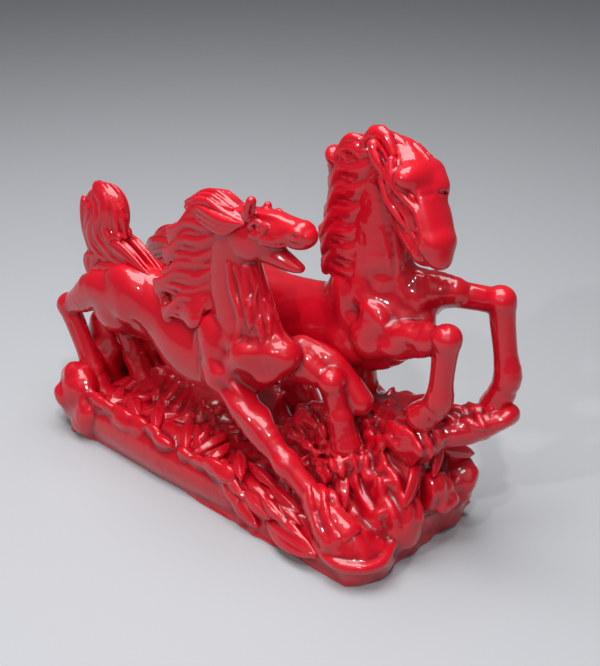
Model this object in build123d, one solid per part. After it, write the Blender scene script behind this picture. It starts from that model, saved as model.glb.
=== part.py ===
from build123d import *
import os
from math import cos, pi, sin

# Ornament of two galloping horses on a leafy hill, cast in pieces that are pinned and bonded.
# Millimetres. +X is the way the horses run, +Y is their left, +Z is up, and the origin lies on the
# underside of the hill. The near horse has negative Y, and the far horse runs on higher ground.

# Driving sizes of the hill
HILL_REAR = -94.0
HILL_FRONT = 94.0
NEAR_SIDE = -39.0
FAR_SIDE = 42.0
NEAR_LEDGE = 25.0
PANEL_RADIUS = 14.5
FRONT_LEDGE = 12.0
REAR_CREST = 33.0
FRONT_CREST = 54.0
SHELF_TIP = 66.0
FRONT_ROCK_TOP = 18.0

# Driving sizes that both horses share
CROUP_DEPTH = 36.0
CROUP_WIDTH = 29.0
BARREL_DEPTH = 39.0
GIRTH_DEPTH = 43.0
BARREL_WIDTH = 27.0
BREAST_DEPTH = 17.0
BREAST_WIDTH = 13.0
NECK_ROOT_DEPTH = 42.0
NECK_ROOT_WIDTH = 23.0
NECK_TOP_DEPTH = 25.0
NECK_TOP_WIDTH = 16.0
SKULL_DEPTH = 23.0
SKULL_WIDTH = 17.5
MUZZLE_DEPTH = 11.0
MUZZLE_WIDTH = 10.5
EAR_LENGTH = 9.5
EAR_WIDTH = 5.5
SHOULDER_SIZE = 17.0
FOREARM_SIZE = 14.5
KNEE_SIZE = 12.5
THIGH_SIZE = 20.0
GASKIN_SIZE = 16.0
HOCK_SIZE = 12.0
CANNON_SIZE = 9.5
FETLOCK_SIZE = 11.0
HOOF_SIZE = 13.5
HOOF_HEIGHT = 8.0
BONE_SLIMMING = 0.94
MANE_THICKNESS = 7.0
TAIL_THICKNESS = 13.0

# Leaves
LEAF_LENGTH = 22.0
LEAF_WIDTH = 8.5
LEAF_THICKNESS = 3.4
LEAF_TAPER = 20

# Steel pins that hold the castings together
PIN_DIAMETER = 3.0
PIN_LENGTH = 15.0
HOOF_PIN_DIAMETER = 2.0
HOOF_PIN_LENGTH = 14.0
PIN_CLEARANCE = 0.05
PIN_END_GAP = 0.25

# Lengthwise lines of the two horses
NEAR_MIDDLE = -16.0
FAR_MIDDLE = 20.0
LEG_SPREAD = 10.5
EAR_SPREAD = 4.5

RING_POINTS = 10
STATION_STEP = 6.0


def ring(center, along, half_width, half_depth, sideways=(0, 1, 0)):
    """An oval face square to a direction, with its width along the sideways direction."""
    along = along.normalized()
    side = Vector(*sideways)
    side = (side - along * side.dot(along)).normalized()
    plane = Plane(origin=center, x_dir=side, z_dir=along)
    outline = [
        (half_width * cos(2 * pi * i / RING_POINTS), half_depth * sin(2 * pi * i / RING_POINTS))
        for i in range(RING_POINTS)
    ]
    return plane * make_face(Spline(*outline, periodic=True))


def mix(a, b, share):
    return a + (b - a) * share


def even_stations(stations):
    """The same run of ovals, spaced evenly along its length so that a loft stays smooth."""
    centers = [Vector(*station[0]) for station in stations]
    spans = [(b - a).length for a, b in zip(centers, centers[1:])]
    count = max(len(stations), round(sum(spans) / STATION_STEP))
    evened = []
    for i in range(count + 1):
        run = sum(spans) * i / count
        k = 0
        while k < len(spans) - 1 and run > spans[k]:
            run -= spans[k]
            k += 1
        share = min(run / spans[k], 1.0)
        center = mix(centers[k], centers[k + 1], share)
        width = mix(stations[k][1], stations[k + 1][1], share)
        depth = mix(stations[k][2], stations[k + 1][2], share)
        evened.append((center, width, depth))
    return evened


def tube(stations, sideways=(0, 1, 0)):
    """A smooth body through ovals. Each station is a center, a width and a depth."""
    stations = even_stations(stations)
    centers = [station[0] for station in stations]
    rings = []
    for i, (center, width, depth) in enumerate(stations):
        ahead = centers[min(i + 1, len(centers) - 1)]
        behind = centers[max(i - 1, 0)]
        rings.append(ring(center, ahead - behind, width / 2, depth / 2, sideways))
    return loft(rings)


def pin(start, toward, diameter, length):
    """A straight pin that starts at a point and runs toward another."""
    start = Vector(*start)
    along = (Vector(*toward) - start).normalized()
    return Plane(origin=start, z_dir=along) * Cylinder(
        diameter / 2, length, align=(Align.CENTER, Align.CENTER, Align.MIN)
    )


def socket(start, toward, diameter, length):
    """The hole for a pin, wider by the clearance and longer at both ends."""
    start = Vector(*start)
    along = (Vector(*toward) - start).normalized()
    return pin(
        start - along * PIN_END_GAP, toward, diameter + 2 * PIN_CLEARANCE, length + 2 * PIN_END_GAP
    )


def largest(shape):
    """The main body of a cut, without the crumbs that the cut left."""
    return Part() + max(shape.solids(), key=lambda body: body.volume)


def bone(start, end, start_size, end_size):
    """A tapered round bar between two points, a little slimmer than the balls at its ends."""
    along = end - start
    bar = Cone(
        start_size / 2 * BONE_SLIMMING, end_size / 2 * BONE_SLIMMING, along.length,
        align=(Align.CENTER, Align.CENTER, Align.MIN),
    )
    return Plane(origin=start, z_dir=along) * bar


def chain(*joints):
    """A knobbly bar through (point, size) joints."""
    points = [Vector(*point) for point, _ in joints]
    sizes = [size for _, size in joints]
    bodies = [Location(point) * Sphere(size / 2) for point, size in zip(points, sizes)]
    for i in range(len(points) - 1):
        bodies.append(bone(points[i], points[i + 1], sizes[i], sizes[i + 1]))
    return Part() + bodies


def limb(joints, toe):
    """A leg through (point, size) joints, ending in a hoof that points to the toe."""
    ankle = Vector(*joints[-1][0])
    sole = ankle + (Vector(*toe) - ankle).normalized() * HOOF_HEIGHT
    return chain(*joints) + bone(ankle, sole, HOOF_SIZE * 0.85, HOOF_SIZE / BONE_SLIMMING)


def foreleg(shoulder, elbow, knee, fetlock, hoof, toe):
    """A front leg from inside the shoulder down to the hoof's sole."""
    cannon = [low + (high - low) * 0.7 for low, high in zip(fetlock, knee)]
    return limb(
        [
            (shoulder, SHOULDER_SIZE), (elbow, FOREARM_SIZE), (knee, KNEE_SIZE),
            (cannon, CANNON_SIZE), (fetlock, FETLOCK_SIZE), (hoof, FETLOCK_SIZE * 0.9),
        ],
        toe,
    )


def hindleg(hip, stifle, hock, fetlock, hoof, toe):
    """A back leg from inside the hip down to the hoof's sole."""
    cannon = [low + (high - low) * 0.7 for low, high in zip(fetlock, hock)]
    return limb(
        [
            (hip, THIGH_SIZE), (stifle, GASKIN_SIZE), (hock, HOCK_SIZE),
            (cannon, CANNON_SIZE), (fetlock, FETLOCK_SIZE), (hoof, FETLOCK_SIZE * 0.9),
        ],
        toe,
    )


def ear(root, tip):
    """A pointed ear that leans from its root to its tip."""
    root = Vector(*root)
    along = (Vector(*tip) - root).normalized()
    return tube([
        (root - along * 2, EAR_WIDTH * 0.8, EAR_WIDTH * 0.7),
        (root + along * EAR_LENGTH * 0.35, EAR_WIDTH, EAR_WIDTH * 0.8),
        (root + along * EAR_LENGTH * 0.75, EAR_WIDTH * 0.6, EAR_WIDTH * 0.5),
        (root + along * EAR_LENGTH, EAR_WIDTH * 0.2, EAR_WIDTH * 0.2),
    ])


def boulder(center, length, width, height, turn=0):
    """A rounded rock."""
    ball = scale(Sphere(0.5), by=(length, width, height))
    return Location(center) * Rotation(0, 0, turn) * ball


def leaf(root, tip, facing=(0, 0, 1)):
    """A pointed leaf from its root to its tip, with its upper side toward facing."""
    root = Vector(*root)
    along = Vector(*tip) - root
    length = along.length
    width = LEAF_WIDTH * length / LEAF_LENGTH
    up = Vector(*facing)
    up = up - along.normalized() * up.dot(along.normalized())
    rim = ThreePointArc((0, 0), (length * 0.45, width / 2), (length, 0))
    rim += ThreePointArc((length, 0), (length * 0.45, -width / 2), (0, 0))
    blade = extrude(make_face(rim), LEAF_THICKNESS / 2, both=True, taper=LEAF_TAPER)
    return Plane(origin=root, x_dir=along, z_dir=up) * blade


def block(foot, top):
    """A flat-faced mound between two level rectangles, each (x from, x to, y from, y to, z)."""
    rims = []
    for left, right, low, high, level in (foot, top):
        rims.append([(left, low, level), (right, low, level), (right, high, level), (left, high, level)])
    below, above = rims
    sides = [[below[i - 1], below[i], above[i], above[i - 1]] for i in range(4)]
    faces = [Face(Wire.make_polygon(corners)) for corners in (below, above, *sides)]
    return Part() + Solid(Shell(faces))


# The hill: a low slab with a bank and a round smooth panel along the near side, and two mounds
floor = Location((0, 0, -100)) * Box(600, 600, 200)
footprint = make_face(Polyline(
    (HILL_REAR, NEAR_SIDE + 2), (HILL_FRONT - 36, NEAR_SIDE + 4), (HILL_FRONT - 10, NEAR_SIDE + 5),
    (HILL_FRONT - 3, -8), (HILL_FRONT, FAR_SIDE - 1), (HILL_REAR, FAR_SIDE), close=True,
))
hill = extrude(footprint, FRONT_LEDGE, taper=8)
mounds = block((HILL_REAR, 60, NEAR_SIDE + 5, 20, 0), (HILL_REAR + 8, 18, NEAR_SIDE + 15, 10, NEAR_LEDGE))
mounds += block((HILL_REAR, 10, -30, FAR_SIDE, 0), (-70, -20, -6, FAR_SIDE - 8, REAR_CREST))
mounds += block(
    (-10, HILL_FRONT, NEAR_SIDE + 3, FAR_SIDE, 0), (34, HILL_FRONT - 7, 11, FAR_SIDE - 4, FRONT_CREST)
)
hill += mounds & extrude(footprint, FRONT_CREST)
panel_ends = [(x, NEAR_SIDE + PANEL_RADIUS - 0.5, NEAR_LEDGE - PANEL_RADIUS + 0.5) for x in (HILL_REAR + 18, 13)]
panel = pin(panel_ends[0], panel_ends[1], 2 * PANEL_RADIUS, panel_ends[1][0] - panel_ends[0][0])
panel += [Location(end) * Sphere(PANEL_RADIUS) for end in panel_ends]
hill += panel - floor


# The near horse: a lowered forehand, a raised neck and a level head with an open mouth
def near(x, z, side=0.0):
    return (x, NEAR_MIDDLE + side, z)


near_barrel = tube([
    (near(-83, 75), CROUP_WIDTH * 0.3, CROUP_DEPTH * 0.4),
    (near(-75, 78), CROUP_WIDTH * 0.75, CROUP_DEPTH * 0.78),
    (near(-60, 80.5), CROUP_WIDTH, CROUP_DEPTH),
    (near(-41, 76), BARREL_WIDTH * 0.95, BARREL_DEPTH * 0.93),
    (near(-21, 70.5), BARREL_WIDTH, BARREL_DEPTH * 0.98),
    (near(-4, 69), BARREL_WIDTH, GIRTH_DEPTH * 0.91),
    (near(9, 73), BARREL_WIDTH * 0.97, GIRTH_DEPTH * 0.82),
    (near(21, 79), BREAST_WIDTH * 1.75, BREAST_DEPTH * 1.5),
    (near(33, 82.5), BREAST_WIDTH * 1.0, BREAST_DEPTH * 0.85),
    (near(38, 83.5), BREAST_WIDTH * 0.5, BREAST_DEPTH * 0.45),
])
near_neck = tube([
    (near(7, 78), NECK_ROOT_WIDTH * 1.05, NECK_ROOT_DEPTH * 0.96),
    (near(9, 86), NECK_ROOT_WIDTH, NECK_ROOT_DEPTH),
    (near(5, 98), NECK_ROOT_WIDTH * 0.86, NECK_ROOT_DEPTH * 0.9),
    (near(2, 109), NECK_TOP_WIDTH * 1.1, NECK_TOP_DEPTH * 1.34),
    (near(1, 120), NECK_TOP_WIDTH, NECK_TOP_DEPTH * 1.12),
    (near(3, 130), NECK_TOP_WIDTH, NECK_TOP_DEPTH),
])
near_trunk = near_barrel + near_neck

near_skull = tube([
    (near(-4.6, 132.7, -0.3), SKULL_WIDTH * 0.6, SKULL_DEPTH * 0.55),
    (near(3.3, 134.2, 0.5), SKULL_WIDTH * 0.86, SKULL_DEPTH * 0.76),
    (near(13.9, 134.2, 1.6), SKULL_WIDTH * 0.94, SKULL_DEPTH * 0.9),
    (near(22.9, 137, 2.5), SKULL_WIDTH * 0.8, SKULL_DEPTH * 0.72),
    (near(29, 138.6, 3.0), MUZZLE_WIDTH * 1.06, MUZZLE_DEPTH * 1.12),
    (near(36, 139.2, 3.8), MUZZLE_WIDTH * 1.06, MUZZLE_DEPTH * 1.05),
    (near(42.5, 138.6, 4.4), MUZZLE_WIDTH * 0.8, MUZZLE_DEPTH * 0.78),
])
near_jaw = tube([
    (near(14, 128.5, 1.6), SKULL_WIDTH * 0.66, SKULL_DEPTH * 0.55),
    (near(22, 127, 2.4), MUZZLE_WIDTH * 0.95, MUZZLE_DEPTH * 0.88),
    (near(29, 125.5, 3.0), MUZZLE_WIDTH * 0.8, MUZZLE_DEPTH * 0.62),
    (near(37, 124.2, 3.7), MUZZLE_WIDTH * 0.58, MUZZLE_DEPTH * 0.4),
])
near_ears = [
    ear(near(12, 143, -EAR_SPREAD), near(15.5, 151.5, -EAR_SPREAD - 1.5)),
    ear(near(13.5, 139.5, EAR_SPREAD), near(16, 148, EAR_SPREAD + 1)),
]
near_head = near_skull + near_jaw + near_ears

near_mane = tube([
    (near(-4, 136), MANE_THICKNESS * 1.2, 9),
    (near(-9, 131, -1), MANE_THICKNESS * 1.6, 19),
    (near(-14, 123, -2), MANE_THICKNESS * 1.7, 27),
    (near(-18, 112, -4), MANE_THICKNESS * 1.6, 31),
    (near(-20, 102, -6), MANE_THICKNESS * 1.6, 33),
    (near(-17, 92, -8), MANE_THICKNESS * 1.4, 24),
    (near(-12, 84, -11), MANE_THICKNESS * 0.9, 11),
])
near_forelock = tube([
    (near(-22, 139.5), 7, 7),
    (near(-12, 143), 9, 8),
    (near(0, 144), 9.5, 8),
    (near(9, 143.5), 8, 6.5),
    (near(17, 143.5), 4, 4),
])
near_tail = tube([
    (near(-68, 93), TAIL_THICKNESS * 0.8, 12),
    (near(-80, 95), TAIL_THICKNESS, 18),
    (near(-89, 101), TAIL_THICKNESS * 1.1, 27),
    (near(-87, 110), TAIL_THICKNESS, 31),
    (near(-84, 117), TAIL_THICKNESS * 0.8, 29),
    (near(-87, 124), TAIL_THICKNESS * 0.5, 17),
    (near(-90, 129), TAIL_THICKNESS * 0.25, 5),
])

near_right_foreleg = foreleg(
    near(4, 62, -7), near(15, 55, -LEG_SPREAD), near(44, 40, -LEG_SPREAD - 2),
    near(65, 27, -LEG_SPREAD - 2), near(73, 24, -LEG_SPREAD - 2), near(82, 19, -LEG_SPREAD - 2),
)
near_left_foreleg = foreleg(
    near(14, 71, 7), near(28, 76, LEG_SPREAD - 1), near(50, 73, LEG_SPREAD + 1),
    near(55, 56, LEG_SPREAD + 1), near(56, 51, LEG_SPREAD + 1), near(58, 43, LEG_SPREAD + 1),
)
near_right_hindleg = hindleg(
    near(-62, 80, -7), near(-76, 71, -8.5), near(-110, 61.5, -8),
    near(-94, 30, -8.2), near(-91, 23, -8.2), near(-87, 15, -8.2),
)
near_left_hindleg = hindleg(
    near(-62, 76, 7), near(-64.5, 63, 8), near(-86, 51, 8),
    near(-79, 36, 8), near(-76.5, 31.5, 8), near(-72, 23, 8),
)


# The far horse: further forward, with both front knees lifted and an arched neck
def far(x, z, side=0.0):
    return (x, FAR_MIDDLE + side, z)


far_barrel = tube([
    (far(-38, 78), CROUP_WIDTH * 0.3, CROUP_DEPTH * 0.4),
    (far(-30, 79.5), CROUP_WIDTH * 0.75, CROUP_DEPTH * 0.78),
    (far(-16, 80), CROUP_WIDTH, CROUP_DEPTH),
    (far(0, 81), BARREL_WIDTH * 0.95, BARREL_DEPTH * 0.93),
    (far(18, 82), BARREL_WIDTH, BARREL_DEPTH),
    (far(36, 85), BARREL_WIDTH, GIRTH_DEPTH * 0.94),
    (far(52, 90), BARREL_WIDTH * 0.98, GIRTH_DEPTH * 0.9),
    (far(66, 96.5), BREAST_WIDTH * 1.7, BREAST_DEPTH * 1.7),
    (far(77, 101), BREAST_WIDTH * 0.75, BREAST_DEPTH * 0.8),
])
far_neck = tube([
    (far(46, 98), NECK_ROOT_WIDTH * 1.05, NECK_ROOT_DEPTH * 1.05),
    (far(48, 112), NECK_ROOT_WIDTH * 0.95, NECK_ROOT_DEPTH * 0.92),
    (far(46, 126), NECK_ROOT_WIDTH * 0.84, NECK_ROOT_DEPTH * 0.76),
    (far(45, 140), NECK_TOP_WIDTH * 1.08, NECK_TOP_DEPTH * 1.12),
    (far(47, 151), NECK_TOP_WIDTH, NECK_TOP_DEPTH),
    (far(51, 160), NECK_TOP_WIDTH, NECK_TOP_DEPTH * 0.86),
    (far(58, 168), NECK_TOP_WIDTH, NECK_TOP_DEPTH * 0.7),
])
far_trunk = far_barrel + far_neck

far_skull = tube([
    (far(63.5, 175, -0.5), SKULL_WIDTH * 0.62, SKULL_DEPTH * 0.5),
    (far(67.7, 169, -2.3), SKULL_WIDTH * 1.08, SKULL_DEPTH * 0.95),
    (far(71, 162.8, -4), SKULL_WIDTH * 1.17, SKULL_DEPTH * 1.1),
    (far(77, 158.6, -5.7), SKULL_WIDTH * 1.0, SKULL_DEPTH * 0.9),
    (far(82.5, 154, -7.3), MUZZLE_WIDTH * 1.35, MUZZLE_DEPTH * 1.4),
    (far(87.5, 148.5, -9), MUZZLE_WIDTH * 1.24, MUZZLE_DEPTH * 1.2),
    (far(91, 143, -10.5), MUZZLE_WIDTH * 1.32, MUZZLE_DEPTH * 1.15),
    (far(93.5, 138, -11.8), MUZZLE_WIDTH * 0.95, MUZZLE_DEPTH * 0.8),
])
far_ears = [
    ear(far(59, 168, -EAR_SPREAD * 2.2), far(54, 177, -EAR_SPREAD * 2.5)),
    ear(far(70, 170, EAR_SPREAD * 1.6), far(69, 180, EAR_SPREAD * 1.9)),
]
far_head = far_skull + far_ears

far_mane = tube([
    (far(47, 172), MANE_THICKNESS * 1.2, 10),
    (far(41, 165, -1), MANE_THICKNESS * 1.6, 22),
    (far(36.5, 152, -3), MANE_THICKNESS * 1.7, 25),
    (far(35, 138, -4), MANE_THICKNESS * 1.6, 25),
    (far(35, 124, -4), MANE_THICKNESS * 1.5, 21),
    (far(36, 113, -4), MANE_THICKNESS * 1.2, 13),
    (far(37, 107, -4), MANE_THICKNESS * 0.8, 6),
])
far_forelock = tube([
    (far(47, 173), 8, 8),
    (far(53, 179), 9, 9),
    (far(62, 179), 10, 9),
    (far(71, 177.5, -1), 10, 8),
    (far(78, 173.5, -2), 6, 5),
])
far_tail = tube([
    (far(-26, 92), TAIL_THICKNESS * 0.7, 9),
    (far(-38, 95), TAIL_THICKNESS * 0.9, 14),
    (far(-52, 95), TAIL_THICKNESS, 20),
    (far(-66, 92), TAIL_THICKNESS, 24),
    (far(-79, 88), TAIL_THICKNESS * 0.8, 22),
    (far(-90, 84), TAIL_THICKNESS * 0.5, 13),
    (far(-97, 82), TAIL_THICKNESS * 0.25, 4),
])

far_right_foreleg = foreleg(
    far(56, 90, -7), far(72, 94, -9.5), far(96, 104, -10),
    far(95, 74, -10), far(92, 69, -10), far(86, 63, -10),
)
far_left_foreleg = foreleg(
    far(62, 102, 7), far(80, 112, 10), far(105, 116, 15),
    far(112, 81, 15), far(110, 73, 15), far(107, 64, 15),
)
far_right_hindleg = hindleg(
    far(-16, 80, -7), far(-12, 66, -9), far(-35, 60, -9),
    far(-31, 45, -9), far(-28, 40, -9), far(-23, 32, -9),
)
far_left_hindleg = hindleg(
    far(-16, 80, 7), far(-20, 68, 9), far(-47, 62, 9),
    far(-44, 43, 9), far(-41, 38, 9), far(-36, 30, 9),
)

# Rocks of the hill
rear_boulders = [
    chain(((-99, -28, 14), 26), ((-94, -32, 23), 25), ((-84, -35, 14), 19)),
    chain(((-100, -11, 12), 24), ((-97, -9, 44), 15)),
    chain(((-86, 8, 20), 26), ((-83, 8, 49), 16)),
    chain(((-66, 14, 30), 26), ((-66, 14, 46), 19)),
    chain(((-93, 16, 14), 30)),
]
front_rock = chain(((66, -26, FRONT_ROCK_TOP - 11), 20), ((83, -25, FRONT_ROCK_TOP - 11), 22))
hoof_shelf = chain(
    ((84, 18, SHELF_TIP - 15), 18), ((103, 29, SHELF_TIP - 7), 15), ((114, 34, SHELF_TIP - 1), 8)
)
right_hoof_rock = chain(((78, 8, 52), 19), ((90, 8, 52), 18))
belly_post = chain(((46, 22, 48), 13), ((46, 22, 70), 11))
front_rocks = [
    chain(((90, -4, 14), 20), ((90, -4, 22), 18)),
    chain(((92, 16, 26), 20)),
    chain(((90, 35, 18), 20), ((90, 35, 26), 19)),
    chain(((58, -2, 32), 24)),
]
far_rocks = [
    boulder((-50, 38, 12), 34, 18, 30),
    boulder((-8, 39, 16), 32, 16, 38),
    boulder((34, 39, 20), 34, 16, 46),
]

# Leaves of the hill
near_leaves = [
    leaf((-58 + 15 * i, -20, NEAR_LEDGE + 2), (-66 + 15 * i + 8 * (i % 3), NEAR_SIDE + 2, NEAR_LEDGE - 1))
    for i in range(6)
]
corner_leaves = [
    leaf((30, NEAR_SIDE + 5, 13), (68, NEAR_SIDE + 1, 4), (0, -1, 0.5)),
    leaf((16, NEAR_SIDE + 3, 19), (36, NEAR_SIDE + 1, 4), (0, -1, 0.3)),
    leaf((20, NEAR_SIDE + 7, 21), (52, NEAR_SIDE + 4, 11), (0, -0.8, 0.8)),
    leaf((26, NEAR_SIDE + 14, 20), (58, NEAR_SIDE + 10, 12), (0, -0.5, 1)),
]
front_leaves = [
    leaf((88, 6, 44), (95, -10, 32), (1, 0, 0.2)),
    leaf((87.5, 22, 48), (95, 8, 40), (1, 0, 0.2)),
    leaf((88.5, 26, 42), (95, 40, 37), (1, 0, 0.2)),
    leaf((64, -11, 31.5), (74, -21, 20), (0, -0.75, 0.66)),
]
far_leaves = [
    leaf((x, FAR_SIDE - 7, z), (x + 8, FAR_SIDE + 3, z - 14), (0, 1, 0.2))
    for x, z in ((-74, 24), (-34, 30), (12, 38), (56, 48))
]

# Seats: each piece gives way to those that carry it, so that faces meet and nothing overlaps
GROUND = ("hill", "rear_boulders", "front_rock", "hoof_shelf", "right_hoof_rock", "front_rocks", "far_rocks")
castings = {
    "hill": ([hill], ()),
    "near_trunk": ([near_trunk], ()),
    "far_trunk": ([far_trunk], ()),
    "rear_boulders": (rear_boulders, ("floor", "hill")),
    "front_rock": ([front_rock], ("floor", "hill")),
    "hoof_shelf": ([hoof_shelf], ("hill",)),
    "right_hoof_rock": ([right_hoof_rock], ("hill", "hoof_shelf")),
    "belly_post": ([belly_post], ("hill", "far_trunk")),
    "front_rocks": (front_rocks, ("floor", "hill", "right_hoof_rock", "hoof_shelf")),
    "far_rocks": (far_rocks, ("floor", "hill")),
    "near_head": ([near_head], ("near_trunk",)),
    "near_mane": ([near_mane], ("near_trunk", "near_head")),
    "near_forelock": ([near_forelock], ("near_head", "near_mane")),
    "near_tail": ([near_tail], ("near_trunk",)),
    "near_right_foreleg": ([near_right_foreleg], ("near_trunk", "hill", "front_rock")),
    "near_left_foreleg": ([near_left_foreleg], ("near_trunk", "hill", "front_rocks")),
    "near_right_hindleg": ([near_right_hindleg], ("near_trunk", "hill", "rear_boulders")),
    "near_left_hindleg": ([near_left_hindleg], ("near_trunk", "hill", "rear_boulders")),
    "far_head": ([far_head], ("far_trunk",)),
    "far_mane": ([far_mane], ("far_trunk", "far_head")),
    "far_forelock": ([far_forelock], ("far_trunk", "far_head", "far_mane")),
    "far_tail": ([far_tail], ("far_trunk",)),
    "far_right_foreleg": ([far_right_foreleg], ("far_trunk", "right_hoof_rock", "hill")),
    "far_left_foreleg": ([far_left_foreleg], ("far_trunk", "hoof_shelf")),
    "far_right_hindleg": ([far_right_hindleg], ("far_trunk", "hill")),
    "far_left_hindleg": ([far_left_hindleg], ("far_trunk", "hill")),
    "near_leaves": (near_leaves, GROUND),
    "corner_leaves": (corner_leaves, GROUND),
    "front_leaves": (front_leaves, GROUND),
    "far_leaves": (far_leaves, GROUND),
}


def rough_box(body):
    return body.bounding_box(optimal=False)


def meet(a, b):
    """Whether two boxes touch."""
    return (
        a.min.X <= b.max.X and b.min.X <= a.max.X
        and a.min.Y <= b.max.Y and b.min.Y <= a.max.Y
        and a.min.Z <= b.max.Z and b.min.Z <= a.max.Z
    )


def cut_by(body, tools):
    """What is left of a body after each tool that reaches it."""
    box = rough_box(body)
    for tool in tools:
        if meet(box, rough_box(tool)):
            body = largest(body - tool)
    return body


seated = {"floor": [floor]}
for name, (bodies, carriers) in castings.items():
    seated[name] = []
    for body in bodies:
        tools = [tool for carrier in carriers for tool in seated[carrier]]
        seated[name].append(cut_by(body, tools + seated[name]))
del seated["floor"]

# Pins: a start, a point to run toward, and a size
body_pins = {
    "near_pins": [
        (near(2, 119), near(12, 135)),
        (near(-64, 87), near(-80, 95)),
        (near(4, 62, -7), near(15, 55, -LEG_SPREAD)),
        (near(14, 71, 7), near(28, 76, LEG_SPREAD - 1)),
        (near(-66, 78, -7), near(-80, 70, -8.5)),
        (near(-62, 72, 6), near(-66, 58, 8.5)),
    ],
    "far_pins": [
        (far(55, 158, -1), far(72, 163, -4)),
        (far(-24, 86), far(-38, 95)),
        (far(56, 90, -7), far(72, 94, -9.5)),
        (far(62, 102, 7), far(80, 112, 10)),
        (far(-15, 74, -6), far(-15, 62, -9)),
        (far(-19, 74, 6), far(-26, 65, 9)),
    ],
}
hoof_pins = [
    near(76, 24, -LEG_SPREAD - 2), near(57, 52, LEG_SPREAD + 1),
    near(-89, 23, -8.2), near(-74.5, 31, 8),
    far(89, 69, -10), far(108, 73, 15), far(-26, 41, -9), far(-39, 38, 9),
]

pins = {name: [] for name in (*body_pins, "hoof_pins")}
holes = []
for name, runs in body_pins.items():
    for start, toward in runs:
        pins[name].append(pin(start, toward, PIN_DIAMETER, PIN_LENGTH))
        holes.append(socket(start, toward, PIN_DIAMETER, PIN_LENGTH))
for x, y, z in hoof_pins:
    pins["hoof_pins"].append(pin((x, y, z), (x, y, 0), HOOF_PIN_DIAMETER, HOOF_PIN_LENGTH))
    holes.append(socket((x, y, z), (x, y, 0), HOOF_PIN_DIAMETER, HOOF_PIN_LENGTH))

for name, bodies in seated.items():
    seated[name] = [cut_by(body, holes) for body in bodies]

os.makedirs("parts", exist_ok=True)
for name, bodies in {**seated, **pins}.items():
    solids = [solid for body in bodies for solid in body.solids()]
    export_step(Compound(solids) if len(solids) > 1 else solids[0], f"parts/{name}.step")
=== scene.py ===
import math

import bpy
import numpy as np
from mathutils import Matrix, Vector


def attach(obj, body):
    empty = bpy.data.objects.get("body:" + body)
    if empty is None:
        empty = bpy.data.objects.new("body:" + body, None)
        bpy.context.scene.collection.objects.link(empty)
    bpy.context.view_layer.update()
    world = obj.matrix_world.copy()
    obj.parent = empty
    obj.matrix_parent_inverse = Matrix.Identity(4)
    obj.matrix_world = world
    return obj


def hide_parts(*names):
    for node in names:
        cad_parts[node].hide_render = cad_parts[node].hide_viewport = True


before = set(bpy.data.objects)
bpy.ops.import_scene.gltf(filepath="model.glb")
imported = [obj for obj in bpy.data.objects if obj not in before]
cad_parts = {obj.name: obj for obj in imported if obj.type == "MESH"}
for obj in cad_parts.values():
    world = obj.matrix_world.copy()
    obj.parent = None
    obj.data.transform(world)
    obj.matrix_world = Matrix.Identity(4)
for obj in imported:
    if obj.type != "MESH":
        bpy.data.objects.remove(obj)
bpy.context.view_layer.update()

# Two galloping horses on a leafy hill, modelled like clay on grids of distances and then meshed.
# Sculpting sizes are in millimetres in the row frame: +X ahead, +Y the horses' left, +Z up.
MM = 0.001
COARSER = 1.0
SKIN_STEP = 0.7 * COARSER
HAIR_STEP = 0.6 * COARSER
GROUND_STEP = 0.85 * COARSER
LEAF_STEP = 0.6 * COARSER
NEAR_MIDDLE = -16.0
FAR_MIDDLE = 20.0
CORNERS = np.array([(i & 1, i >> 1 & 1, i >> 2 & 1) for i in range(8)])
EDGES = [(a, b) for a in range(8) for b in range(a + 1, 8) if np.abs(CORNERS[a] - CORNERS[b]).sum() == 1]
# The clay's limits: distance held by empty space, room round a form, least half size and divisor
EMPTY = 6.0
MARGIN = 1.5
THINNEST = 0.2
TINY = 1e-6
# Meshing: most points in a lump that is dropped, and rounds of blur that find the hollows
CRUMB = 150
BLUR_PASSES = 10


def unit(vector):
    vector = np.asarray(vector, dtype=float)
    return vector / np.linalg.norm(vector)


def along_axis(offset, axis):
    """How far grid points lie along an axis, from their open coordinate arrays."""
    return offset[0] * axis[0] + offset[1] * axis[1] + offset[2] * axis[2]


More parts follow.
